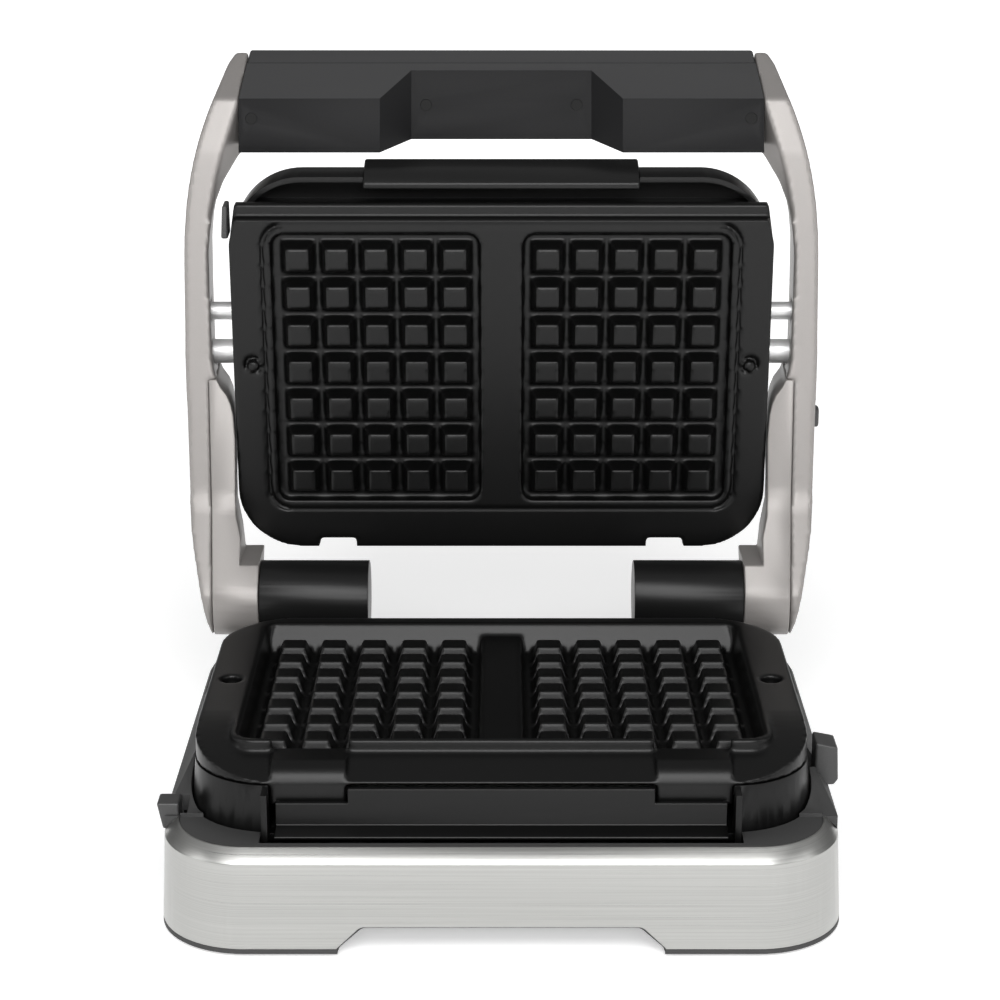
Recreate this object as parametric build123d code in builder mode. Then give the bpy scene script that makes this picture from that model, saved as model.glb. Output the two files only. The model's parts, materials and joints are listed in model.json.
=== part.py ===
from build123d import *

import os
from math import atan2, cos, degrees, hypot, radians, sin, tan

# Waffle maker with removable plates, standing open, in millimetres.
# +X is to the user's right, +Y points to the rear and +Z up. The origin lies on the table, under the
# middle of the open appliance. Plans are drawn about the middle of the lower plate, which level() and
# side() place. The lid is drawn open, about the middle of the upper plate, which lid() places.

os.makedirs("parts", exist_ok=True)

# Waffle pattern
CELL = 22.0  # pitch of the posts
COLUMNS, ROWS = 5, 7
POST_BASE, POST_TOP, POST_HEIGHT = 18.6, 12.6, 9.1
GRID_X = 70.0  # middle of each waffle, left and right
DIVIDER = 24.0

# Lower plate
PLATE_Y = -64.0  # middle of the lower plate in the row frame
PLATE_HALF = 152.5
PLATE_FRONT, PLATE_REAR = -107.0, 92.5
FLOOR_Z, RIM_Z = 77.2, 92.0
PLATE_EDGE_Z = 77.0
CAVITY_X, CAVITY_Y = 130.3, 82.5  # half sizes at the rim
CAVITY_DRAFT = 9.0  # degrees
SPOUT_X, SPOUT_WIDTH = 94.0, 38.0
STUD_X, STUD_Y = 141.0, -3.0

# Base
BASE_HALF, BASE_FRONT, BASE_REAR = 166.0, -134.4, 148.0
BASE_CORNER = 42.0
BASE_DRAFT = 2.8  # degrees, wider towards the bottom
BOTTOM_Z, STEEL_Z, BEVEL_Z, BASE_TOP = 1.6, 4.0, 47.6, 54.0
BEVEL = BASE_TOP - BEVEL_Z
STEEL_END_Y = -92.0
STEEL = 1.2
ARCH_TOP_Z, ARCH_HALF, ARCH_FOOT = 15.4, 68.0, 80.0
SHOULDER_Z = 72.0
LEDGE_Z = 53.5
KNOB_SLOT = (155.0, 172.0, -58.6, -40.4)  # x and y limits
TAB_SLOT = (-172.0, -155.0, -91.6, -77.4)
TAB_Z = 46.4

# Hinge and lid
HINGE_Y, HINGE_Z = 137.6, 88.5
HUB_R, BARREL_R, SHAFT_R = 22.0, 21.0, 6.0
BARREL_IN, BARREL_OUT = 76.0, 138.2
HUB_IN = 138.6
LEAN = radians(5.06)  # the open lid's top leans to the front
LID_Y, LID_Z = 160.1, 218.8  # middle of the upper waffle floor
ROD_D, THIN_ROD_V = -29.9, 24.6
THICK_ROD_R, THIN_ROD_R = 7.0, 5.2

# Upper plate, about its middle: v runs towards the lid's front edge
UPPER_FRONT, UPPER_REAR = 95.7, -108.9
UPPER_FACE_FRONT = 88.6
UPPER_RIM = 4.8  # height over the waffle floor
UPPER_CORNER = 36.0
HOUSING_HALF, HOUSING_FRONT, HOUSING_REAR = 153.0, 107.0, -110.0

# Handle section at the open lid: underside A-B, front A-C, panel C-D
HANDLE = {"A": (196.8, 366.9), "B": (187.8, 337.5), "C": (247.3, 388.3), "D": (258.8, 347.2)}
RECESS_DEPTH = 24.0
PANEL_BUTTONS_X = (-44.0, 44.0, 62.0)
LOCK_X, LOCK_AT = 173.0, (176.0, 186.0)


def level(z, x=0.0, y=0.0):
    """A horizontal plane whose middle is over the lower plate's."""
    return Plane((x, PLATE_Y + y, z))


def side(x):
    """An upright plane seen from the right: its x runs to the rear and its y up."""
    return Plane((x, PLATE_Y, 0), x_dir=(0, 1, 0), z_dir=(1, 0, 0))


def front(y):
    """An upright plane seen from the front: its x runs to the right and its y up."""
    return Plane((0, PLATE_Y + y, 0), x_dir=(1, 0, 0), z_dir=(0, -1, 0))


def lid(d, x=0.0, v=0.0):
    """A plane of the open lid: d is the height above the waffle floor, towards the user."""
    y = LID_Y - v * sin(LEAN) - d * cos(LEAN)
    z = LID_Z + v * cos(LEAN) - d * sin(LEAN)
    return Plane((x, PLATE_Y + y, z), x_dir=(1, 0, 0), z_dir=(0, -cos(LEAN), -sin(LEAN)))


def facing(start, end, shift=0.0):
    """A plane on the handle's face from start to end, its z out of the handle."""
    (y0, z0), (y1, z1) = HANDLE[start], HANDLE[end]
    length = hypot(y1 - y0, z1 - z0)
    out = Vector(0, -(z1 - z0) / length, (y1 - y0) / length)
    middle = Vector(0, PLATE_Y + (y0 + y1) / 2, (z0 + z1) / 2)
    if out.dot(Vector(0, PLATE_Y + 222, 360) - middle) > 0:
        out = out * -1
    return Plane(middle + out * shift, x_dir=(1, 0, 0), z_dir=out)


def save(part, name):
    """Labels a finished piece and writes its STEP file."""
    part.label = name
    export_step(part, f"parts/{name}.step")


def block(x0, x1, y0, y1, z0, z1):
    """A box between two corners, about the lower plate's middle."""
    with BuildPart() as piece:
        with BuildSketch(level(z0)):
            with Locations(((x0 + x1) / 2, (y0 + y1) / 2)):
                Rectangle(x1 - x0, y1 - y0)
        extrude(amount=z1 - z0)
    return piece.part


def base_plan(z, inset, height, taper=0.0):
    """The base's rounded plan, drawn in by inset, as a solid from z upwards."""
    with BuildPart() as piece:
        with BuildSketch(level(z)):
            with Locations((0, (BASE_FRONT + BASE_REAR) / 2)):
                RectangleRounded(
                    2 * (BASE_HALF - inset), BASE_REAR - BASE_FRONT - 2 * inset, BASE_CORNER - inset
                )
        extrude(amount=height, taper=taper)
    return piece.part


def less(form, *cutters):
    """A form with every cutter taken away."""
    with BuildPart() as piece:
        add(form)
        for cutter in cutters:
            add(cutter, mode=Mode.SUBTRACT)
    return piece.part


def base_form(inset, bottom):
    """The base's outer form: a 45 degree bevel at the front, straight sides at the rear."""
    rear = less(base_plan(BEVEL_Z, inset, BEVEL), block(-200, 200, -200, STEEL_END_Y, BEVEL_Z, 60))
    with BuildPart() as piece:
        spread = (BEVEL_Z - bottom) * tan(radians(BASE_DRAFT))
        add(base_plan(bottom, inset - spread, BEVEL_Z - bottom, taper=BASE_DRAFT))
        add(base_plan(BEVEL_Z, inset, BEVEL, taper=45))
        add(rear)
    return piece.part


def arch(top, half, foot):
    """The shallow arch that runs under the base from front to rear."""
    with BuildPart() as piece:
        with BuildSketch(front(BASE_FRONT - 5)):
            with BuildLine():
                edge = FilletPolyline((-foot, -1), (-foot, STEEL_Z - 0.2), (-half, top), (half, top),
                                      (foot, STEEL_Z - 0.2), (foot, -1), radius=5)
                Line(edge @ 1, edge @ 0)
            make_face()
        extrude(amount=-(BASE_REAR - BASE_FRONT + 10))
    return piece.part


def posts(plane, height):
    """One waffle's grid of tapered posts, standing on a plane."""
    draft = degrees(atan2((POST_BASE - POST_TOP) / 2, POST_HEIGHT))
    with BuildPart() as piece:
        with BuildSketch(plane):
            with GridLocations(CELL, CELL, COLUMNS, ROWS):
                Rectangle(POST_BASE, POST_BASE)
        extrude(amount=height, taper=draft)
    return piece.part


# ---------------------------------------------------------------- base

rebate = less(
    base_form(0, STEEL_Z), base_form(STEEL + 0.05, STEEL_Z), block(-200, 200, STEEL_END_Y, 200, 0, 60)
)

with BuildPart() as base_shell:
    add(base_form(0, BOTTOM_Z))
    add(rebate, mode=Mode.SUBTRACT)
    add(base_plan(ARCH_TOP_Z + 3, 7.5, 40), mode=Mode.SUBTRACT)
    add(arch(ARCH_TOP_Z - 0.8, ARCH_HALF - 1, ARCH_FOOT - 1), mode=Mode.SUBTRACT)
    with BuildSketch(level(BOTTOM_Z + 3)):
        with Locations((-120, 6), (120, 6)):
            RectangleRounded(62, 236, 20)
    extrude(amount=ARCH_TOP_Z + 2, mode=Mode.SUBTRACT)
    with Locations(level(BOTTOM_Z)):
        with Locations((-128, -98, 0), (128, -98, 0), (-128, 112, 0), (128, 112, 0)):
            Cylinder(9.1, 1.4, align=(Align.CENTER, Align.CENTER, Align.MIN), mode=Mode.SUBTRACT)
        with Locations((-98, -60, 0), (98, -60, 0), (-98, 75, 0), (98, 75, 0)):
            Cylinder(3.6, 1.6, align=(Align.CENTER, Align.CENTER, Align.MIN), mode=Mode.SUBTRACT)
            Cylinder(1.6, 4, align=(Align.CENTER, Align.CENTER, Align.MIN), mode=Mode.SUBTRACT)
    with BuildSketch(front(BASE_REAR + 3)):
        with Locations((-96, 28)):
            Circle(7.1)
    extrude(amount=20, mode=Mode.SUBTRACT)
    add(block(*TAB_SLOT, TAB_Z - 1, 76), mode=Mode.SUBTRACT)
save(base_shell.part, "base_shell")

with BuildPart() as steel_skirt:
    add(base_form(0, STEEL_Z))
    add(base_form(STEEL, STEEL_Z), mode=Mode.SUBTRACT)
    add(block(-200, 200, STEEL_END_Y - 0.1, 200, 0, 60), mode=Mode.SUBTRACT)
    add(arch(ARCH_TOP_Z, ARCH_HALF, ARCH_FOOT), mode=Mode.SUBTRACT)
save(steel_skirt.part, "steel_skirt")

with BuildPart() as rubber_feet:
    with Locations(level(0)):
        with Locations((-128, -98, 0), (128, -98, 0), (-128, 112, 0), (128, 112, 0)):
            Cylinder(9, BOTTOM_Z + 1.4, align=(Align.CENTER, Align.CENTER, Align.MIN))
save(rubber_feet.part, "rubber_feet")

with BuildPart() as base_screws:
    with Locations(level(BOTTOM_Z)):
        with Locations((-98, -60, 0), (98, -60, 0), (-98, 75, 0), (98, 75, 0)):
            Cylinder(3.5, 1.5, align=(Align.CENTER, Align.CENTER, Align.MIN))
            Cylinder(1.5, 14, align=(Align.CENTER, Align.CENTER, Align.MIN))
save(base_screws.part, "base_screws")

with BuildPart() as cord_inlet:
    with BuildSketch(front(BASE_REAR + 4)):
        with Locations((-96, 28)):
            Circle(11)
            Circle(3.6, mode=Mode.SUBTRACT)
    extrude(amount=2.4)
    with BuildSketch(front(BASE_REAR + 1.6)):
        with Locations((-96, 28)):
            Circle(7)
            Circle(3.6, mode=Mode.SUBTRACT)
    extrude(amount=17.6)
    fillet(cord_inlet.edges().filter_by(GeomType.CIRCLE).sort_by(Axis.Y)[-1], 1.2)
save(cord_inlet.part, "cord_inlet")

with BuildPart() as terminal_block:
    add(block(-112, -78, 96, 112, 19, 31))
    with Locations(level(31, y=104)):
        with Locations((-106, 0, 0), (-95, 0, 0), (-84, 0, 0)):
            Hole(2, 8)
save(terminal_block.part, "terminal_block")

# The deck: a sloped shoulder round the plate, and a low ledge inside the steel at the front.
with BuildPart() as slope:
    with BuildSketch(side(-200)):
        Polygon((-120, 53), (STEEL_END_Y + 1, BASE_TOP), (-42, SHOULDER_Z), (-42, 90), (-120, 90),
                align=None)
    extrude(amount=400)

shoulder = less(
    base_plan(BASE_TOP, 0, SHOULDER_Z - BASE_TOP, taper=33),
    slope.part,
    block(-200, 200, -200, STEEL_END_Y, 50, 80),
    block(-200, 200, 97, 200, 62, 80),
    block(-209, -135, 62, 200, 57, 80),
    block(135, 209, 62, 200, 57, 80),
)
rim = less(base_plan(LEDGE_Z - 3, BEVEL + 1.2, 5), block(-200, 200, -200, STEEL_END_Y, LEDGE_Z, 80))

with BuildPart() as deck:
    add(rim)
    add(shoulder)
    with BuildSketch(level(40)):
        with Locations((0, (PLATE_FRONT + PLATE_REAR) / 2)):
            RectangleRounded(2 * PLATE_HALF + 6.0, PLATE_REAR - PLATE_FRONT + 6.0, 44)
    extrude(amount=60, mode=Mode.SUBTRACT)
    add(block(-117, 117, -122.5, -80, 45, 60), mode=Mode.SUBTRACT)
    add(block(*KNOB_SLOT, BASE_TOP, 76), mode=Mode.SUBTRACT)
    add(block(*TAB_SLOT, TAB_Z - 1, 76), mode=Mode.SUBTRACT)
save(deck.part, "deck")


# ---------------------------------------------------------------- lower cooking unit


def plate_plan(z, grow, height, taper=0.0):
    """The lower plate's rounded plan as a solid."""
    with BuildPart() as piece:
        with BuildSketch(level(z)):
            with Locations((0, (PLATE_FRONT + PLATE_REAR) / 2)):
                RectangleRounded(2 * (PLATE_HALF + grow), PLATE_REAR - PLATE_FRONT + 2 * grow, 41 + grow)
        extrude(amount=height, taper=taper)
    return piece.part


with BuildPart() as plate_bed:
    add(plate_plan(BASE_TOP - 5, 2.6, PLATE_EDGE_Z - BASE_TOP + 4.7, taper=4.5))
    add(plate_plan(BASE_TOP - 2, -3.4, 40), mode=Mode.SUBTRACT)
    add(block(-113.3, 113.3, -125, -80, 52.5, 90), mode=Mode.SUBTRACT)
    for sx in (-1, 1):
        add(block(sx * 114.4 - 1.5, sx * 114.4 + 1.5, -119, -106, 52, 76.5))
    with Locations(level(BASE_TOP - 5)):
        with Locations((-98, -60, 0), (98, -60, 0), (-98, 75, 0), (98, 75, 0)):
            Cylinder(4, 8, align=(Align.CENTER, Align.CENTER, Align.MIN))
save(plate_bed.part, "plate_bed")

with BuildPart() as lower_reflector:
    with BuildSketch(level(57.5)):
        RectangleRounded(270, 150, 20)
    extrude(amount=7)
    with BuildSketch(level(58.3)):
        RectangleRounded(268.4, 148.4, 19.2)
    extrude(amount=10, mode=Mode.SUBTRACT)
save(lower_reflector.part, "lower_reflector")

ELEMENT_R = 3.25


def element_path(half_x, half_y, gap):
    """Corner points of a heating loop that opens at its rear."""
    return [(gap, half_y + 8), (gap, half_y), (half_x, half_y), (half_x, -half_y), (-half_x, -half_y),
            (-half_x, half_y), (-gap, half_y), (-gap, half_y + 8)]


def element(plane, half_x, half_y, gap, bend):
    """A tubular heating element bent to a loop on a plane."""
    with BuildPart() as piece:
        with BuildLine(plane) as path:
            FilletPolyline(*element_path(half_x, half_y, gap), radius=bend)
        start = path.wires()[0]
        with BuildSketch(Plane(start @ 0, z_dir=start % 0)):
            Circle(ELEMENT_R)
        sweep()
    return piece.part


save(element(level(67.4), 108, 56, 30, 7.5), "lower_heating_element")

with BuildPart() as lower_thermostat:
    with BuildSketch(level(62.5, y=0)):
        Circle(10)
    extrude(amount=8.4)
    with BuildSketch(level(60.5, y=0)):
        Rectangle(26, 9)
    extrude(amount=2)
save(lower_thermostat.part, "lower_thermostat")

with BuildPart() as lower_plate:
    add(plate_plan(PLATE_EDGE_Z, 0, RIM_Z - PLATE_EDGE_Z))
    # the front falls away in one long arc
    with BuildSketch(side(-200)):
        with BuildLine():
            crown = ThreePointArc((-48, RIM_Z), (-80, 87.6), (PLATE_FRONT - 3, PLATE_EDGE_Z - 0.4))
            Polyline(crown @ 1, (PLATE_FRONT - 20, 110), (-48, 110), crown @ 0)
        make_face()
    extrude(amount=400, mode=Mode.SUBTRACT)
    # the raised wall round the cooking cavity
    with BuildSketch(level(PLATE_EDGE_Z)):
        with Locations((0, -1.5)):
            RectangleRounded(2 * CAVITY_X + 8, 2 * CAVITY_Y + 5, 12)
    extrude(amount=RIM_Z - PLATE_EDGE_Z)
    # the pan under the cavity
    with BuildSketch(level(72.5)):
        RectangleRounded(2 * CAVITY_X + 6, 2 * CAVITY_Y + 4, 10)
    extrude(amount=6)
    with BuildSketch(level(RIM_Z)):
        RectangleRounded(2 * CAVITY_X, 2 * CAVITY_Y, 8)
    extrude(amount=-(RIM_Z - FLOOR_Z), taper=CAVITY_DRAFT, mode=Mode.SUBTRACT)
    # the cavity's rear wall leans well back
    with BuildSketch(side(1.5 - CAVITY_X)):
        Polygon((CAVITY_Y + 1, RIM_Z - 0.6), (CAVITY_Y + 1, FLOOR_Z - 1), (CAVITY_Y - 9.5, FLOOR_Z - 1),
                (CAVITY_Y - 0.4, RIM_Z - 0.6), align=None)
    extrude(amount=2 * CAVITY_X - 3)
    for sx in (-1, 1):
        add(posts(level(FLOOR_Z, x=sx * GRID_X), POST_HEIGHT))
    with BuildSketch(level(FLOOR_Z - 0.5)):
        Rectangle(DIVIDER, 2 * CAVITY_Y - 1)
    extrude(amount=8.9, taper=8)
    # hollow underside of the front and sides
    with BuildSketch(level(PLATE_EDGE_Z - 1)):
        with Locations((0, (PLATE_REAR - 4 - 96) / 2)):
            RectangleRounded(2 * PLATE_HALF - 8, PLATE_REAR - 4 + 96, 36)
        RectangleRounded(2 * CAVITY_X + 6, 2 * CAVITY_Y + 4, 10, mode=Mode.SUBTRACT)
    extrude(amount=4.5, mode=Mode.SUBTRACT)
    for sx in (-1, 1):
        add(block(sx * SPOUT_X - SPOUT_WIDTH / 2, sx * SPOUT_X + SPOUT_WIDTH / 2, -112, -84.6, 70, 94),
            mode=Mode.SUBTRACT)
        add(block(sx * SPOUT_X - SPOUT_WIDTH / 2, sx * SPOUT_X + SPOUT_WIDTH / 2, -86, -80.5, 86, 94),
            mode=Mode.SUBTRACT)
    with Locations(level(RIM_Z)):
        with Locations((-STUD_X, STUD_Y, 0), (STUD_X, STUD_Y, 0)):
            Hole(5.25, 6)
    # the two spouts, bent down into the tray
    for sx in (-1, 1):
        with BuildSketch(side(sx * SPOUT_X - SPOUT_WIDTH / 2 + 0.4)):
            with BuildLine():
                Polyline((-84, 82.6), (-84, 86), (-96, 86))
                ThreePointArc((-96, 86), (-102.8, 83.2), (-106.6, 77))
                Polyline((-106.6, 77), (-107.6, 66.5), (-103.8, 66.5), (-103, 76.4))
                ThreePointArc((-103, 76.4), (-100.4, 80.8), (-95.6, 82.6))
                Line((-95.6, 82.6), (-84, 82.6))
            make_face()
        extrude(amount=SPOUT_WIDTH - 0.8)
save(lower_plate.part, "lower_plate")

with BuildPart() as drip_tray:
    add(block(-109.6, 109.6, -112.5, -88.6, 56, 77.2))
    add(block(-107.6, 107.6, -109.9, -90.6, 58, 90), mode=Mode.SUBTRACT)
    add(block(-130, 130, -108.4, -80, 64.5, 90), mode=Mode.SUBTRACT)
    for sx in (-1, 1):
        add(block(sx * SPOUT_X - 19.6, sx * SPOUT_X + 19.6, -120, -100, 69.8, 90), mode=Mode.SUBTRACT)
    with BuildSketch(side(-109.6)):
        Polygon((-112, 56), (-112, 58.5), (-121.6, 56.2), (-121.6, 54.8), (-112, 54.8), align=None)
    extrude(amount=219.2)
save(drip_tray.part, "drip_tray")

with BuildPart() as release_knob:
    with BuildSketch(front(-58)):
        Polygon((158.5, 55.6), (168.4, 55.6), (170.4, 58.6), (169.6, 76.2), (158.5, 78.4), align=None)
    extrude(amount=-17)
    fillet(release_knob.edges().filter_by(Axis.Y).group_by(Axis.X)[-1], 1.2)
save(release_knob.part, "release_knob")

with BuildPart() as release_tab:
    with BuildSketch(front(-91)):
        Polygon((-170.2, 60.2), (-159, 60.2), (-159, TAB_Z + 0.4), (-167.4, TAB_Z), align=None)
    extrude(amount=-13)
save(release_tab.part, "release_tab")

# ---------------------------------------------------------------- hinge

for name, sx in (("left", -1), ("right", 1)):
    with BuildPart() as barrel:
        with BuildSketch(side(sx * BARREL_IN)):
            with Locations((HINGE_Y, HINGE_Z)):
                Circle(BARREL_R)
        extrude(amount=sx * (BARREL_OUT - BARREL_IN))
        add(block(sx * 106 - 26, sx * 106 + 26, HINGE_Y - 17, HINGE_Y + 8, 62, HINGE_Z))
        with BuildSketch(side(sx * (BARREL_IN + 5))):
            with Locations((HINGE_Y, HINGE_Z)):
                Circle(SHAFT_R + 0.05)
        extrude(amount=sx * 90, mode=Mode.SUBTRACT)
    save(barrel.part, f"hinge_barrel_{name}")

    with BuildPart() as shaft:
        with BuildSketch(side(sx * (BARREL_IN + 6))):
            with Locations((HINGE_Y, HINGE_Z)):
                Circle(SHAFT_R)
        extrude(amount=sx * 79)
    save(shaft.part, f"hinge_shaft_{name}")


# ---------------------------------------------------------------- arms and handle


ARM_IN = 149.4
RECESS = (69.0, 52.0)  # half lengths of the finger recess, outside and inside


def arm_outline(sx):
    """The arm's front outline, run through from front to rear."""
    with BuildPart() as piece:
        with BuildSketch(front(60)):
            with BuildLine():
                low = Spline((165.7, 62), (168.8, 82), (172.6, 101.5), (177.2, 123), (179.2, 148))
                high = Spline((181.3, 225), (181.2, 270), (179.4, 309), (173.3, 340), (164.1, 366))
                Line(low @ 1, high @ 0)
                Polyline(high @ 1, (158.8, 381.5), (153.5, 389), (146.4, 396), (ARM_IN, 367), (ARM_IN, 111),
                         (HUB_IN, 111), (HUB_IN, 62), low @ 0)
            make_face()
            if sx < 0:
                mirror(about=Plane.YZ, mode=Mode.REPLACE)
        extrude(amount=-260)
    return piece.part


def skewed(sx, y, shift, depth, *points):
    """A prism that starts at y and drifts outwards by shift for each millimetre of depth."""
    with BuildPart() as piece:
        with BuildSketch(front(y)):
            Polygon(*[(sx * x, z) for x, z in points], align=None)
        extrude(amount=depth, dir=(sx * shift, 1, 0))
    return piece.part


def arm_form(sx):
    """One lid arm with its hub: side outline and front outline intersected, and the inside hollowed."""
    a, b, c, d = (HANDLE[k] for k in "ABCD")
    with BuildPart() as piece:
        with BuildSketch(side(sx * (HUB_IN - 1))):
            with BuildLine():
                top = FilletPolyline((119.6, 101.1), (149, 143), b, a, c, d, (213, 221), (188, 140),
                                     (156.3, 100.1), radius=[40, 5, 4, 3, 5, 40, 20])
                ThreePointArc(top @ 1, (HINGE_Y, HINGE_Z - HUB_R), top @ 0)
            make_face()
        extrude(amount=sx * 60)
        add(arm_outline(sx), mode=Mode.INTERSECT)
        add(skewed(sx, 180, -0.45, 90, (120, 300), (167, 300), (165.9, 311), (164.9, 322.4), (160.6, 346),
                   (156.8, 366), (120, 366)), mode=Mode.SUBTRACT)
        add(skewed(sx, 100, 0.07, 200, (120, 111), (145, 111), (146.4, 122), (149.4, 135), (149.6, 146),
                   (149, 177), (149.8, 191), (151, 197), (153, 202), (156.8, 207), (159.4, 213),
                   (160.9, 221), (161.5, 257), (161.5, 282), (160.2, 295), (157.5, 308), (152.5, 320),
                   (143, 334), (120, 336)), mode=Mode.SUBTRACT)
    return piece.part


for name, sx in (("left", -1), ("right", 1)):
    form = arm_form(sx)
    inner_zone = skewed(sx, 90, 0.07, 140, (130, 50), (162.6, 50), (162.6, 211), (130, 211))
    with BuildPart() as arm:
        add(form)
        add(inner_zone, mode=Mode.SUBTRACT)
        with BuildSketch(side(sx * 130)):
            with Locations((HINGE_Y, HINGE_Z)):
                Circle(SHAFT_R + 0.05)
        extrude(amount=sx * 37, mode=Mode.SUBTRACT)
        with BuildSketch(side(sx * 155)):
            with Locations((LID_Y - ROD_D * cos(LEAN), LID_Z - ROD_D * sin(LEAN))):
                Circle(THICK_ROD_R + 0.05)
        extrude(amount=sx * 22, mode=Mode.SUBTRACT)
        with BuildSketch(side(sx * 155)):
            with Locations((LID_Y - ROD_D * cos(LEAN) + 0.3, LID_Z - ROD_D * sin(LEAN) + THIN_ROD_V)):
                SlotCenterToCenter(9, 2 * THIN_ROD_R + 1.4)
        extrude(amount=sx * 22, mode=Mode.SUBTRACT)
        if sx > 0:
            with BuildSketch(side(LOCK_X - 2.4)):
                with Locations(LOCK_AT):
                    RectangleRounded(9.8, 12.8, 3.4)
            extrude(amount=20, mode=Mode.SUBTRACT)
    save(arm.part, f"arm_{name}")

    with BuildPart() as arm_cover:
        add(form)
        add(inner_zone, mode=Mode.INTERSECT)
        with BuildSketch(side(sx * 130)):
            with Locations((HINGE_Y, HINGE_Z)):
                Circle(SHAFT_R + 0.05)
        extrude(amount=sx * 37, mode=Mode.SUBTRACT)
    save(arm_cover.part, f"arm_cover_{name}")


def middle(p, q, share=0.5):
    """A point between two points of the handle's section."""
    return tuple(u + (w - u) * share for u, w in zip(HANDLE[p], HANDLE[q]))


def handle_slab(*points, half=149.2):
    """A slab of the handle along its whole length, with its ends drawn in towards the top."""
    with BuildPart() as piece:
        with BuildSketch(side(-half)):
            Polygon(*points, align=None)
        extrude(amount=2 * half)
        with BuildSketch(front(150)):
            Polygon((-half, 300), (half, 300), (half, 367), (half - 3.2, 396), (3.2 - half, 396),
                    (-half, 367), align=None)
        extrude(amount=-140, mode=Mode.INTERSECT)
    return piece.part


SPLIT_FRONT, SPLIT_REAR = middle("A", "C", 0.72), middle("B", "D", 0.66)

underside = facing("A", "B")
with BuildPart() as recess:
    with BuildSketch(Plane(underside.origin, x_dir=(1, 0, 0), z_dir=-underside.y_dir)):
        Polygon((-RECESS[0], 0.01), (RECESS[0], 0.01), (RECESS[1], -RECESS_DEPTH),
                (-RECESS[1], -RECESS_DEPTH), align=None)
    extrude(amount=60, both=True)

with BuildPart() as handle_grip:
    add(handle_slab(HANDLE["A"], HANDLE["B"], SPLIT_REAR, SPLIT_FRONT))
    add(recess.part, mode=Mode.SUBTRACT)
    with Locations(facing("A", "B")):
        with Locations((-142, 4, 0), (142, 4, 0)):
            Cylinder(3.3, 2.4, mode=Mode.SUBTRACT)
            Cylinder(1.3, 30, mode=Mode.SUBTRACT)
    with Locations(facing("A", "B", -RECESS_DEPTH)):
        with Locations((-43.5, 15.5, 0), (43.5, 15.5, 0)):
            Cylinder(3.3, 2.4, mode=Mode.SUBTRACT)
            Cylinder(1.3, 12, mode=Mode.SUBTRACT)
save(handle_grip.part, "handle_grip")

with BuildPart() as handle_screws:
    with Locations(facing("A", "B", -0.2)):
        with Locations((-142, 4, 0), (142, 4, 0)):
            Cylinder(3.2, 1, align=(Align.CENTER, Align.CENTER, Align.MAX))
            Cylinder(1.25, 14, align=(Align.CENTER, Align.CENTER, Align.MAX))
    with Locations(facing("A", "B", -RECESS_DEPTH - 0.2)):
        with Locations((-43.5, 15.5, 0), (43.5, 15.5, 0)):
            Cylinder(3.2, 1, align=(Align.CENTER, Align.CENTER, Align.MAX))
            Cylinder(1.25, 5.5, align=(Align.CENTER, Align.CENTER, Align.MAX))
save(handle_screws.part, "handle_screws")

with BuildPart() as handle_cover:
    add(handle_slab(SPLIT_FRONT, SPLIT_REAR, HANDLE["D"], HANDLE["C"]))
    with BuildSketch(facing("C", "D")):
        RectangleRounded(200, 30, 6)
    extrude(amount=-11, mode=Mode.SUBTRACT)
save(handle_cover.part, "handle_cover")

with BuildPart() as control_panel:
    with BuildSketch(facing("C", "D", -0.6)):
        RectangleRounded(199.6, 29.6, 5.8)
        with Locations(*[(x, 0) for x in PANEL_BUTTONS_X]):
            Circle(6.3, mode=Mode.SUBTRACT)
        Circle(10.1, mode=Mode.SUBTRACT)
    extrude(amount=-2)
save(control_panel.part, "control_panel")

with BuildPart() as indicator_lens:
    with BuildSketch(facing("C", "D", -0.2)):
        Circle(10)
    extrude(amount=-3)
save(indicator_lens.part, "indicator_lens")

with BuildPart() as control_board:
    with BuildSketch(facing("C", "D", -8.6)):
        Rectangle(180, 26)
    extrude(amount=-1.6)
save(control_board.part, "control_board")

for name, x in zip(("power_button", "menu_button", "confirm_button"), PANEL_BUTTONS_X):
    with BuildPart() as button:
        with BuildSketch(facing("C", "D", 0.8)):
            with Locations((x, 0)):
                Circle(6.0)
        extrude(amount=-6)
        rims = button.edges().filter_by(GeomType.CIRCLE)
        fillet(rims.sort_by_distance(facing("C", "D", 5).origin + Vector(x, 0, 0))[0], 0.6)
    save(button.part, name)

# ---------------------------------------------------------------- lid


def lid_plan(d, half, v_front, v_rear, corner, depth, taper=0.0):
    """A rounded plan in the lid's frame, run backwards from d by depth."""
    with BuildPart() as piece:
        with BuildSketch(lid(d, v=(v_front + v_rear) / 2)):
            RectangleRounded(2 * half, v_front - v_rear, corner)
        extrude(amount=-depth, taper=taper)
    return piece.part


def upper_outline(d, front_v, half, depth):
    """The upper plate's plan: round corners at the hinge, nearly square ones at the lid's front edge."""
    with BuildPart() as piece:
        with BuildSketch(lid(d)):
            Polygon((-half, UPPER_REAR), (half, UPPER_REAR), (half, 74), (half - 3.4, front_v),
                    (3.4 - half, front_v), (-half, 74), align=None)
        extrude(amount=-depth)
        add(lid_plan(d + 1, half, front_v + 60, UPPER_REAR, UPPER_CORNER, depth + 2), mode=Mode.INTERSECT)
    return piece.part


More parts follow.
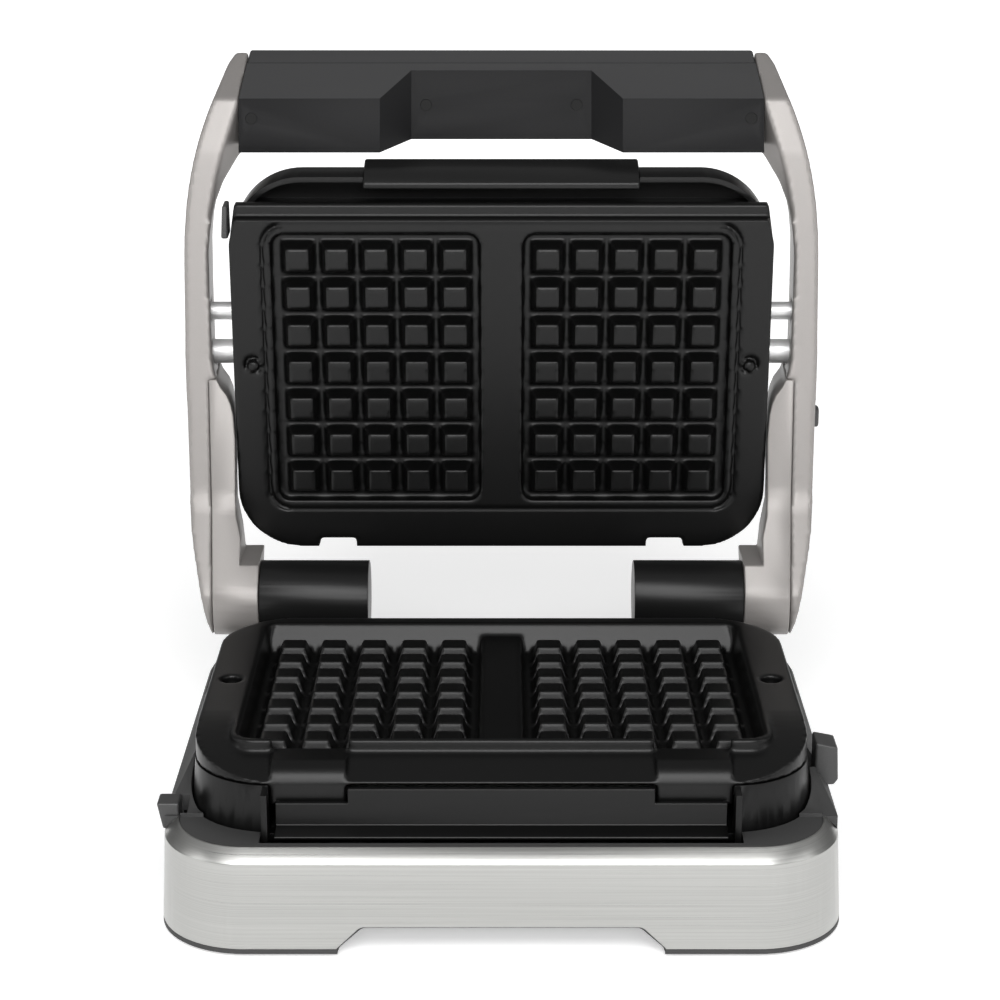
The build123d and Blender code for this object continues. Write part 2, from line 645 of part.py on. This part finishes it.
with BuildPart() as upper_plate:
    add(upper_outline(UPPER_RIM, UPPER_FACE_FRONT, PLATE_HALF, 12.0))
    add(upper_outline(-0.6, UPPER_FRONT, PLATE_HALF, 6.6))
    with BuildSketch(lid(UPPER_RIM)):
        RectangleRounded(2 * 135.2, 2 * 86.4, 13)
        RectangleRounded(2 * 132.8, 2 * 84.0, 12, mode=Mode.SUBTRACT)
    extrude(amount=-2.2, mode=Mode.SUBTRACT)
    for sx in (-1, 1):
        with BuildSketch(lid(UPPER_RIM, x=sx * (DIVIDER / 2 + 129) / 2)):
            RectangleRounded(129 - DIVIDER / 2, 160, 7)
        extrude(amount=-UPPER_RIM, mode=Mode.SUBTRACT)
        add(posts(lid(0, x=sx * GRID_X), POST_HEIGHT))
        with BuildSketch(lid(UPPER_RIM, x=sx * 95.3, v=UPPER_REAR)):
            Rectangle(21.2, 10)
        extrude(amount=-20, mode=Mode.SUBTRACT)
        with BuildSketch(lid(UPPER_RIM, x=sx * STUD_X, v=-STUD_Y)):
            Circle(5.3)
            Circle(3.1, mode=Mode.SUBTRACT)
        extrude(amount=-2.5, mode=Mode.SUBTRACT)
        with BuildSketch(lid(UPPER_RIM - 1, x=sx * STUD_X, v=-STUD_Y)):
            Circle(3.1)
        extrude(amount=3.6)
    with BuildSketch(lid(-7.2)):
        RectangleRounded(2 * 140, 2 * 90, 20)
    extrude(amount=5.0, mode=Mode.SUBTRACT)
save(upper_plate.part, "upper_plate")

with BuildPart() as upper_housing:
    add(lid_plan(-10, HOUSING_HALF - 3, 90, HOUSING_REAR + 2, 30, 7))
    add(lid_plan(-17, HOUSING_HALF, HOUSING_FRONT, HOUSING_REAR, 40, 23))
    add(less(lid_plan(-16, HOUSING_HALF - 3, HOUSING_FRONT - 3, HOUSING_REAR + 3, 37, 20),
             lid_plan(0, 200, 90, -200, 1, 60)), mode=Mode.SUBTRACT)
    add(lid_plan(0, 145, 86, -96, 28, 36), mode=Mode.SUBTRACT)
    for v, radius in ((0.0, THICK_ROD_R), (THIN_ROD_V, THIN_ROD_R)):
        plane = lid(ROD_D, v=v)
        with BuildSketch(Plane(plane.origin - Vector(200, 0, 0), x_dir=(0, 1, 0), z_dir=(1, 0, 0))):
            Circle(radius + 0.02)
        extrude(amount=400, mode=Mode.SUBTRACT)
save(upper_housing.part, "upper_housing")

with BuildPart() as upper_cover:
    add(lid_plan(-40, HOUSING_HALF - 0.5, HOUSING_FRONT - 0.5, HOUSING_REAR + 0.5, 40, 15, taper=28))
    add(lid_plan(-39, HOUSING_HALF - 8, HOUSING_FRONT - 8, HOUSING_REAR + 8, 34, 13, taper=28),
        mode=Mode.SUBTRACT)
save(upper_cover.part, "upper_cover")

with BuildPart() as front_tongue:
    with BuildSketch(Plane(lid(0).origin - Vector(77.6, 0, 0), x_dir=(0, 1, 0), z_dir=(1, 0, 0))):
        with BuildLine():
            Polyline(*[
                (-v * sin(LEAN) - d * cos(LEAN), v * cos(LEAN) - d * sin(LEAN))
                for v, d in ((107.05, -37), (112.6, -38), (110.8, -26), (108.2, -16), (104.5, -12),
                             (101.05, -12), (101.05, -16.9), (107.05, -16.9), (107.05, -37))
            ])
        make_face()
    extrude(amount=155.2)
save(front_tongue.part, "front_tongue")

for name, v, radius in (("pivot_rods", 0.0, THICK_ROD_R), ("guide_rods", THIN_ROD_V, THIN_ROD_R)):
    with BuildPart() as rods:
        for sx in (-1, 1):
            origin = lid(ROD_D, v=v).origin + Vector(sx * 145.6, 0, 0)
            with BuildSketch(Plane(origin, x_dir=(0, 1, 0), z_dir=(sx, 0, 0))):
                Circle(radius)
            extrude(amount=29.4)
    save(rods.part, name)

with BuildPart() as upper_reflector:
    add(lid_plan(-24, 140, 84, -90, 20, 8))
    add(lid_plan(0, 139.2, 83.2, -89.2, 19.2, 31.2), mode=Mode.SUBTRACT)
save(upper_reflector.part, "upper_reflector")

save(element(lid(-13.0), 108, 56, 30, 7.5), "upper_heating_element")

with BuildPart() as upper_thermostat:
    with BuildSketch(lid(-7.6)):
        Circle(10)
    extrude(amount=-8.4)
save(upper_thermostat.part, "upper_thermostat")

with BuildPart() as upper_release_tab:
    with BuildSketch(lid(-1, x=-154.9, v=85)):
        Polygon((-1.0, 9.4), (1.9, 9.4), (1.9, -9.4), (-2.2, -9.4), align=None)
    extrude(amount=-14)
save(upper_release_tab.part, "upper_release_tab")

with BuildPart() as lock_button:
    with BuildSketch(side(LOCK_X)):
        with Locations(LOCK_AT):
            RectangleRounded(9, 12, 3)
    extrude(amount=11)
save(lock_button.part, "lock_button")
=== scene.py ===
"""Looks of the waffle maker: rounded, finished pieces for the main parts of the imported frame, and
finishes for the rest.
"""

import json
import math

import bmesh
import bpy
from bpy.props import FloatProperty, FloatVectorProperty, PointerProperty
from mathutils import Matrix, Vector

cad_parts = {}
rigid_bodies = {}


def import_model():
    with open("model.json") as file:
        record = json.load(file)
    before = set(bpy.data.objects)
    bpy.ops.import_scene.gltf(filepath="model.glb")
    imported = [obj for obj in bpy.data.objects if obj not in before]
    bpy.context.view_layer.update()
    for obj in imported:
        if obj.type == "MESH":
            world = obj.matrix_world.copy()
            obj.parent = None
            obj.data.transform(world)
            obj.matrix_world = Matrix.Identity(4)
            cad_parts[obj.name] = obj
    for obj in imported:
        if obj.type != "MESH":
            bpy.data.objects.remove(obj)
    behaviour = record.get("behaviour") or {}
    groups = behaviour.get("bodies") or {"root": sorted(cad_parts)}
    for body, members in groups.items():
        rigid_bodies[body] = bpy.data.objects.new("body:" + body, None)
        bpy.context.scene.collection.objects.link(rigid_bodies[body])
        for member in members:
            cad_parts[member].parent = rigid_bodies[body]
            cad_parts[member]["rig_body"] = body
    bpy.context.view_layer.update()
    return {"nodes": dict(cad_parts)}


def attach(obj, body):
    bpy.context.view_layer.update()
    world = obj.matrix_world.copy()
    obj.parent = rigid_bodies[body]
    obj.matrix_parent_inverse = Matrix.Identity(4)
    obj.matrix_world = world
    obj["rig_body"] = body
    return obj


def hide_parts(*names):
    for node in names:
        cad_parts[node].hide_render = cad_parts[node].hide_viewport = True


bl_info = {
    "name": "Waffle Maker",
    "version": (1, 0, 0),
    "blender": (4, 5, 0),
    "location": "3D View > Sidebar > Waffle Maker",
    "description": "Builds the finished pieces of an open waffle maker round its frame",
    "category": "Add Mesh",
}

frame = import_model()

WELD = 0.00002  # corners nearer than this are one corner
FLAT = math.radians(0.7)  # faces that meet flatter than this are one face
SHARP = math.radians(32)  # edges sharper than this are rounded
EDGE_SEGMENTS = 3
ARM_RELAX, LOWER_RELAX, UPPER_RELAX = 6, 4, 3  # rounds of smoothing after the remesh

CAMERA_AT = (0, -1.28022, 0.56117)
CAMERA_TILT = math.radians(72.977)
CAMERA_LENS, CAMERA_SENSOR, CAMERA_SHIFT = 89.29, 36, -0.00135
SOFTBOXES = (  # name, place, what it faces, width, height, power
    ("key", (0, -1.5, 1.45), (0, 0, 0.12), 1.5, 0.7, 26),
    ("low", (0, -2.1, 1.0), (0, 0, 0.12), 1.7, 0.5, 20),
    ("left", (-1.6, -0.7, 0.8), (0, 0, 0.2), 0.7, 1.1, 6),
    ("right", (1.6, -0.7, 0.8), (0, 0, 0.2), 0.7, 1.1, 6),
)
FLOOR_GLOW_NEAR, FLOOR_GLOW_FAR = (0.3, 0.42), (1.6, 1.0)  # distance, strength


def colour(name, description, default):
    """A colour that the sidebar shows."""
    return FloatVectorProperty(
        name=name, description=description, default=default, subtype="COLOR", size=3, min=0, max=1
    )


def length(name, description, default):
    """A size in metres that the sidebar shows."""
    return FloatProperty(
        name=name, description=description, default=default, unit="LENGTH", min=0, precision=4
    )


class WaffleSizes(bpy.types.PropertyGroup):
    """Sizes of the finished pieces."""

    arm_grid: length("Arm grid", "Mesh size of the moulded lid arms", 0.0014)
    casing_edge: length("Casing edge", "Rounding of the black casings' edges", 0.0012)
    plate_grid: length("Plate grid", "Mesh size of the cast cooking plates", 0.0011)
    tray_edge: length("Tray edge", "Rounding of the drip tray's edges", 0.0009)
    steel_edge: length("Steel edge", "Rounding of the steel skirt's edges", 0.0005)
    floor_half: length("Floor", "Half the width of the floor", 30.0)


class WaffleColours(bpy.types.PropertyGroup):
    """Colours of the finishes."""

    steel: colour("Brushed steel", "Stainless steel of the base's front", (0.40, 0.40, 0.388))
    arm: colour("Arm paint", "Satin paint of the lid arms", (0.245, 0.231, 0.222))
    black: colour("Black plastic", "Moulded casings", (0.012, 0.012, 0.0125))
    nonstick: colour("Non-stick coating", "Cooking plates", (0.008, 0.008, 0.008))
    grey: colour("Button plastic", "Buttons and release pieces", (0.035, 0.035, 0.035))
    floor: colour("Floor", "Plain pale floor", (0.86, 0.86, 0.86))


def sizes():
    return bpy.context.scene.waffle_sizes


def colours():
    return bpy.context.scene.waffle_colours


# ---------------------------------------------------------------- finishes


def finish(name, base, roughness, metallic=0.0, grain=900.0, stretch=(1, 1, 1), depth=0.0,
           vary=0.1, tone=0.12, coat=0.0, specular=0.5, anisotropic=0.0):
    """A finish with a fine grain that shifts its tone, roughness and relief."""
    if name in bpy.data.materials:
        return bpy.data.materials[name]
    material = bpy.data.materials.new(name)
    material.use_nodes = True
    tree = material.node_tree
    shader = tree.nodes["Principled BSDF"]
    shader.inputs["Metallic"].default_value = metallic
    shader.inputs["Coat Weight"].default_value = coat
    shader.inputs["Coat Roughness"].default_value = 0.08
    shader.inputs["Specular IOR Level"].default_value = specular
    shader.inputs["Anisotropic"].default_value = anisotropic
    place = tree.nodes.new("ShaderNodeTexCoord")
    mapping = tree.nodes.new("ShaderNodeMapping")
    mapping.inputs["Scale"].default_value = stretch
    noise = tree.nodes.new("ShaderNodeTexNoise")
    noise.inputs["Scale"].default_value = grain
    noise.inputs["Detail"].default_value = 3
    tree.links.new(place.outputs["Object"], mapping.inputs["Vector"])
    tree.links.new(mapping.outputs["Vector"], noise.inputs["Vector"])
    ramp = tree.nodes.new("ShaderNodeValToRGB")
    ramp.color_ramp.elements[0].position = 0.3
    ramp.color_ramp.elements[1].position = 0.7
    ramp.color_ramp.elements[0].color = [c * (1 - tone) for c in base] + [1]
    ramp.color_ramp.elements[1].color = [min(1, c * (1 + tone)) for c in base] + [1]
    tree.links.new(noise.outputs["Fac"], ramp.inputs["Fac"])
    tree.links.new(ramp.outputs["Color"], shader.inputs["Base Color"])
    rough = tree.nodes.new("ShaderNodeMapRange")
    rough.inputs["To Min"].default_value = roughness * (1 - vary)
    rough.inputs["To Max"].default_value = roughness * (1 + vary)
    tree.links.new(noise.outputs["Fac"], rough.inputs["Value"])
    tree.links.new(rough.outputs["Result"], shader.inputs["Roughness"])
    if depth:
        bump = tree.nodes.new("ShaderNodeBump")
        bump.inputs["Strength"].default_value = 1
        bump.inputs["Distance"].default_value = depth
        tree.links.new(noise.outputs["Fac"], bump.inputs["Height"])
        tree.links.new(bump.outputs["Normal"], shader.inputs["Normal"])
    return material


def steel():
    return finish("brushed_steel", colours().steel, 0.30, metallic=1, grain=1, stretch=(6, 6, 2600),
                  depth=0.00002, vary=0.25, tone=0.10, anisotropic=0.55)


def arm_paint():
    return finish("arm_paint", colours().arm, 0.42, metallic=0.35, grain=2600, depth=0.000004, tone=0.03)


def black_plastic():
    return finish("black_plastic", colours().black, 0.48, grain=1700, depth=0.00003, specular=0.3)


def handle_black_painted_top_light():
    """The handle's matt plastic, with a painted highlight: a little lighter on the faces that look up.
    """
    if "handle_black_painted_top_light" in bpy.data.materials:
        return bpy.data.materials["handle_black_painted_top_light"]
    material = finish("handle_black_painted_top_light", colours().black, 0.5, grain=1700, depth=0.00003, specular=0.08)
    tree = material.node_tree
    shader = tree.nodes["Principled BSDF"]
    plain = shader.inputs["Base Color"].links[0].from_socket
    # Painted highlight: where the surface normal points up, the base colour is mixed towards a lighter
    # grey that stands in for the light falling on the handle's top. The normal is in world space, so
    # this lightening moves over the handle when the lid turns.
    surface = tree.nodes.new("ShaderNodeNewGeometry")
    height = tree.nodes.new("ShaderNodeSeparateXYZ")
    painted_top_light_mask = tree.nodes.new("ShaderNodeMapRange")
    painted_top_light_mask.inputs["From Min"].default_value = 0.55
    painted_top_light_mask.inputs["From Max"].default_value = 0.95
    painted_top_light = tree.nodes.new("ShaderNodeMix")
    painted_top_light.data_type = "RGBA"
    # The lighter grey of the painted highlight on the top faces.
    painted_top_light.inputs["B"].default_value = (0.050, 0.050, 0.051, 1)
    tree.links.new(surface.outputs["Normal"], height.inputs["Vector"])
    tree.links.new(height.outputs["Z"], painted_top_light_mask.inputs["Value"])
    tree.links.new(painted_top_light_mask.outputs["Result"], painted_top_light.inputs["Factor"])
    tree.links.new(plain, painted_top_light.inputs["A"])
    tree.links.new(painted_top_light.outputs["Result"], shader.inputs["Base Color"])
    return material


def barrel_black():
    return finish("barrel_black", (0.006, 0.006, 0.006), 0.34, grain=1500, depth=0.00001, specular=0.25)


def nonstick():
    return finish("nonstick", colours().nonstick, 0.40, grain=1100, depth=0.00009, tone=0.7, vary=0.3,
                  specular=1.0)


def grey_plastic():
    return finish("grey_plastic", colours().grey, 0.42, grain=1700, depth=0.00002)


def gloss_black():
    return finish("gloss_black", (0.006, 0.006, 0.006), 0.14, grain=600, coat=0.6)


def lens():
    return finish("lens", (0.55, 0.52, 0.48), 0.3, grain=700, coat=0.3)


def rubber():
    return finish("rubber", (0.014, 0.014, 0.014), 0.8, grain=1400, depth=0.00005)


def chrome():
    return finish("chrome", (0.80, 0.80, 0.80), 0.42, metallic=0.6, grain=1, stretch=(8, 3000, 3000),
                  depth=0.000004, vary=0.3, tone=0.05)


def screw_steel():
    return finish("screw_steel", (0.006, 0.006, 0.006), 0.5, specular=0.1, grain=1800, depth=0.00001)


def element_steel():
    return finish("element_steel", (0.16, 0.15, 0.14), 0.45, metallic=0.9, grain=500, tone=0.4)


def reflector_sheet():
    return finish("reflector_sheet", (0.70, 0.70, 0.70), 0.3, metallic=1, grain=300, tone=0.08)


def ceramic():
    return finish("ceramic", (0.80, 0.78, 0.72), 0.6, grain=800, tone=0.05)


def board():
    return finish("board", (0.02, 0.12, 0.05), 0.4, grain=900)


def nylon():
    return finish("nylon", (0.75, 0.75, 0.72), 0.5, grain=1200, tone=0.04)


# ---------------------------------------------------------------- making


def stand_in(piece, node, material):
    """Gives a piece its finish, and makes it move with the node's body and stand for the node."""
    piece.data.materials.clear()
    piece.data.materials.append(material)
    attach(piece, frame["nodes"][node]["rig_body"])
    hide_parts(node)


def soften(node, width, material):
    """A finished piece with the node's shape, its sharp edges rounded, that stands for the node."""
    source = frame["nodes"][node]
    mesh = bpy.data.meshes.new(node + "_finished")
    bm = bmesh.new()
    bm.from_mesh(source.data)
    bmesh.ops.remove_doubles(bm, verts=bm.verts, dist=WELD)
    bmesh.ops.dissolve_limit(bm, angle_limit=FLAT, verts=bm.verts, edges=bm.edges)
    for face in bm.faces:
        face.smooth = True
    bm.to_mesh(mesh)
    bm.free()
    piece = bpy.data.objects.new(node + "_finished", mesh)
    bpy.context.scene.collection.objects.link(piece)
    bevel = piece.modifiers.new("edges", "BEVEL")
    bevel.width = width
    bevel.segments = EDGE_SEGMENTS
    bevel.limit_method = "ANGLE"
    bevel.angle_limit = SHARP
    bevel.harden_normals = True
    bevel.use_clamp_overlap = True
    settle(piece)
    stand_in(piece, node, material)


def mould(node, grid, rounds, material):
    """A finished piece with the node's shape, remeshed and relaxed so that every edge is soft."""
    source = frame["nodes"][node]
    piece = bpy.data.objects.new(node + "_finished", source.data.copy())
    bpy.context.scene.collection.objects.link(piece)
    remesh = piece.modifiers.new("grid", "REMESH")
    remesh.mode = "VOXEL"
    remesh.voxel_size = grid
    relax = piece.modifiers.new("relax", "SMOOTH")
    relax.factor = 0.5
    relax.iterations = rounds
    settle(piece)
    for face in piece.data.polygons:
        face.use_smooth = True
    stand_in(piece, node, material)


def settle(piece):
    """Applies a piece's modifiers to its mesh."""
    bpy.context.view_layer.update()
    done = bpy.data.meshes.new_from_object(piece.evaluated_get(bpy.context.evaluated_depsgraph_get()))
    piece.modifiers.clear()
    piece.data = done


def dress(node, material):
    """Gives a CAD node its finish."""
    mesh = frame["nodes"][node].data
    mesh.materials.clear()
    mesh.materials.append(material)


# ---------------------------------------------------------------- pieces


class WAFFLE_OT_base(bpy.types.Operator):
    """Build the base: steel skirt, shell, deck, feet and hinge barrels."""

    bl_idname = "waffle.base"
    bl_label = "Base"

    def execute(self, context):
        edge = sizes().casing_edge
        soften("steel_skirt", sizes().steel_edge, steel())
        soften("base_shell", edge, black_plastic())
        soften("deck", edge, black_plastic())
        soften("plate_bed", edge, nonstick())
        for side in ("left", "right"):
            soften(f"hinge_barrel_{side}", edge, barrel_black())
            dress(f"hinge_shaft_{side}", chrome())
        dress("rubber_feet", rubber())
        dress("base_screws", screw_steel())
        dress("cord_inlet", rubber())
        dress("terminal_block", nylon())
        dress("lower_reflector", reflector_sheet())
        dress("lower_heating_element", element_steel())
        dress("lower_thermostat", ceramic())
        return {"FINISHED"}


class WAFFLE_OT_lower_plate(bpy.types.Operator):
    """Build the lower cooking plate and the drip tray."""

    bl_idname = "waffle.lower_plate"
    bl_label = "Lower plate and tray"

    def execute(self, context):
        mould("lower_plate", sizes().plate_grid, LOWER_RELAX, nonstick())
        soften("drip_tray", sizes().tray_edge, nonstick())
        soften("release_knob", sizes().casing_edge, grey_plastic())
        soften("release_tab", sizes().casing_edge, grey_plastic())
        return {"FINISHED"}


class WAFFLE_OT_arms(bpy.types.Operator):
    """Build the two lid arms."""

    bl_idname = "waffle.arms"
    bl_label = "Lid arms"

    def execute(self, context):
        for side in ("left", "right"):
            mould(f"arm_{side}", sizes().arm_grid, ARM_RELAX, arm_paint())
            soften(f"arm_cover_{side}", sizes().casing_edge, arm_paint())
        soften("lock_button", sizes().casing_edge, grey_plastic())
        return {"FINISHED"}


class WAFFLE_OT_handle(bpy.types.Operator):
    """Build the handle with its control panel."""

    bl_idname = "waffle.handle"
    bl_label = "Handle"

    def execute(self, context):
        soften("handle_grip", sizes().casing_edge, handle_black_painted_top_light())
        soften("handle_cover", sizes().casing_edge, handle_black_painted_top_light())
        dress("handle_screws", screw_steel())
        dress("control_panel", gloss_black())
        dress("indicator_lens", lens())
        dress("control_board", board())
        for name in ("power_button", "menu_button", "confirm_button"):
            dress(name, grey_plastic())
        return {"FINISHED"}


class WAFFLE_OT_lid(bpy.types.Operator):
    """Build the lid: upper plate, housing, tongue and rods."""

    bl_idname = "waffle.lid"
    bl_label = "Lid"

    def execute(self, context):
        mould("upper_plate", sizes().plate_grid, UPPER_RELAX, nonstick())
        soften("upper_housing", sizes().casing_edge, barrel_black())
        soften("upper_cover", sizes().casing_edge, barrel_black())
        soften("front_tongue", sizes().casing_edge, barrel_black())
        dress("pivot_rods", chrome())
        dress("guide_rods", chrome())
        dress("upper_reflector", reflector_sheet())
        dress("upper_heating_element", element_steel())
        dress("upper_thermostat", ceramic())
        soften("upper_release_tab", sizes().casing_edge, grey_plastic())
        return {"FINISHED"}


# ---------------------------------------------------------------- stage


def softbox(name, at, target, width, height, power):
    """A rectangular light that faces its target."""
    lamp = bpy.data.lights.new(name, "AREA")
    lamp.shape = "RECTANGLE"
    lamp.size = width
    lamp.size_y = height
    lamp.energy = power
    box = bpy.data.objects.new(name, lamp)
    box.location = at
    box.rotation_euler = (Vector(target) - Vector(at)).to_track_quat("-Z", "Y").to_euler()
    bpy.context.scene.collection.objects.link(box)


class WAFFLE_OT_stage(bpy.types.Operator):
    """Build the floor, the lights and the camera."""

    bl_idname = "waffle.stage"
    bl_label = "Stage"

    def brighten_far(self, paint):
        """Makes the floor glow more with its distance from the object, up to plain white."""
        tree = paint.node_tree
        shader = tree.nodes["Principled BSDF"]
        shader.inputs["Emission Color"].default_value = (1, 1, 1, 1)
        place = tree.nodes.new("ShaderNodeTexCoord")
        away = tree.nodes.new("ShaderNodeVectorMath")
        away.operation = "LENGTH"
        glow = tree.nodes.new("ShaderNodeMapRange")
        glow.inputs["From Min"].default_value, glow.inputs["To Min"].default_value = FLOOR_GLOW_NEAR
        glow.inputs["From Max"].default_value, glow.inputs["To Max"].default_value = FLOOR_GLOW_FAR
        tree.links.new(place.outputs["Object"], away.inputs[0])
        tree.links.new(away.outputs["Value"], glow.inputs["Value"])
        tree.links.new(glow.outputs["Result"], shader.inputs["Emission Strength"])

    def execute(self, context):
        scene = context.scene
        scene.view_settings.view_transform = "Standard"
        half = sizes().floor_half
        mesh = bpy.data.meshes.new("floor")
        mesh.from_pydata([(-half, -half, 0), (half, -half, 0), (half, half, 0), (-half, half, 0)], [],
                         [(0, 1, 2, 3)])
        floor = bpy.data.objects.new("floor", mesh)
        scene.collection.objects.link(floor)
        paint = finish("floor_paint", colours().floor, 0.9, grain=4, tone=0.01, specular=0.0)
        self.brighten_far(paint)
        mesh.materials.append(paint)

        world = bpy.data.worlds.new("studio")
        scene.world = world
        world.use_nodes = True
        tree = world.node_tree
        tree.nodes.clear()
        output = tree.nodes.new("ShaderNodeOutputWorld")
        seen = tree.nodes.new("ShaderNodeBackground")
        seen.inputs["Strength"].default_value = 1.0
        room = tree.nodes.new("ShaderNodeBackground")
        room.inputs["Strength"].default_value = 1.0
        path = tree.nodes.new("ShaderNodeLightPath")
        mix = tree.nodes.new("ShaderNodeMixShader")
        place = tree.nodes.new("ShaderNodeTexCoord")
        height = tree.nodes.new("ShaderNodeSeparateXYZ")
        ramp = tree.nodes.new("ShaderNodeValToRGB")
        ramp.color_ramp.elements[0].position = 0.0
        ramp.color_ramp.elements[0].color = (0.10, 0.10, 0.10, 1)
        ramp.color_ramp.elements[1].position = 0.8
        ramp.color_ramp.elements[1].color = (0.40, 0.40, 0.40, 1)
        tree.links.new(place.outputs["Generated"], height.inputs["Vector"])
        tree.links.new(height.outputs["Z"], ramp.inputs["Fac"])
        tree.links.new(ramp.outputs["Color"], room.inputs["Color"])
        tree.links.new(path.outputs["Is Camera Ray"], mix.inputs["Fac"])
        tree.links.new(room.outputs["Background"], mix.inputs[1])
        tree.links.new(seen.outputs["Background"], mix.inputs[2])
        tree.links.new(mix.outputs["Shader"], output.inputs["Surface"])

        for light in SOFTBOXES:
            softbox(*light)

        lens_data = bpy.data.cameras.new("camera")
        lens_data.lens = CAMERA_LENS
        lens_data.sensor_width = CAMERA_SENSOR
        lens_data.shift_x = CAMERA_SHIFT
        camera = bpy.data.objects.new("camera", lens_data)
        camera.location = CAMERA_AT
        camera.rotation_euler = (CAMERA_TILT, 0, 0)
        scene.collection.objects.link(camera)
        scene.camera = camera
        return {"FINISHED"}


PIECES = (WAFFLE_OT_base, WAFFLE_OT_lower_plate, WAFFLE_OT_arms, WAFFLE_OT_handle, WAFFLE_OT_lid)


class WAFFLE_PT_panel(bpy.types.Panel):
    """Lists the pieces, their sizes and their colours."""

    bl_idname = "WAFFLE_PT_panel"
    bl_label = "Waffle Maker"
    bl_space_type = "VIEW_3D"
    bl_region_type = "UI"
    bl_category = "Waffle Maker"

    def draw(self, context):
        layout = self.layout
        for operator in PIECES + (WAFFLE_OT_stage,):
            layout.operator(operator.bl_idname)
        for group in (context.scene.waffle_sizes, context.scene.waffle_colours):
            for key in group.bl_rna.properties.keys():
                if key not in ("rna_type", "name"):
                    layout.prop(group, key)


CLASSES = (WaffleSizes, WaffleColours) + PIECES + (WAFFLE_OT_stage, WAFFLE_PT_panel)


def register():
    for cls in CLASSES:
        bpy.utils.register_class(cls)
    bpy.types.Scene.waffle_sizes = PointerProperty(type=WaffleSizes)
    bpy.types.Scene.waffle_colours = PointerProperty(type=WaffleColours)


def unregister():
    del bpy.types.Scene.waffle_colours
    del bpy.types.Scene.waffle_sizes
    for cls in reversed(CLASSES):
        bpy.utils.unregister_class(cls)


def main():
    register()
    bpy.ops.waffle.base()
    bpy.ops.waffle.lower_plate()
    bpy.ops.waffle.arms()
    bpy.ops.waffle.handle()
    bpy.ops.waffle.lid()
    bpy.ops.waffle.stage()


if __name__ == "__main__":
    main()
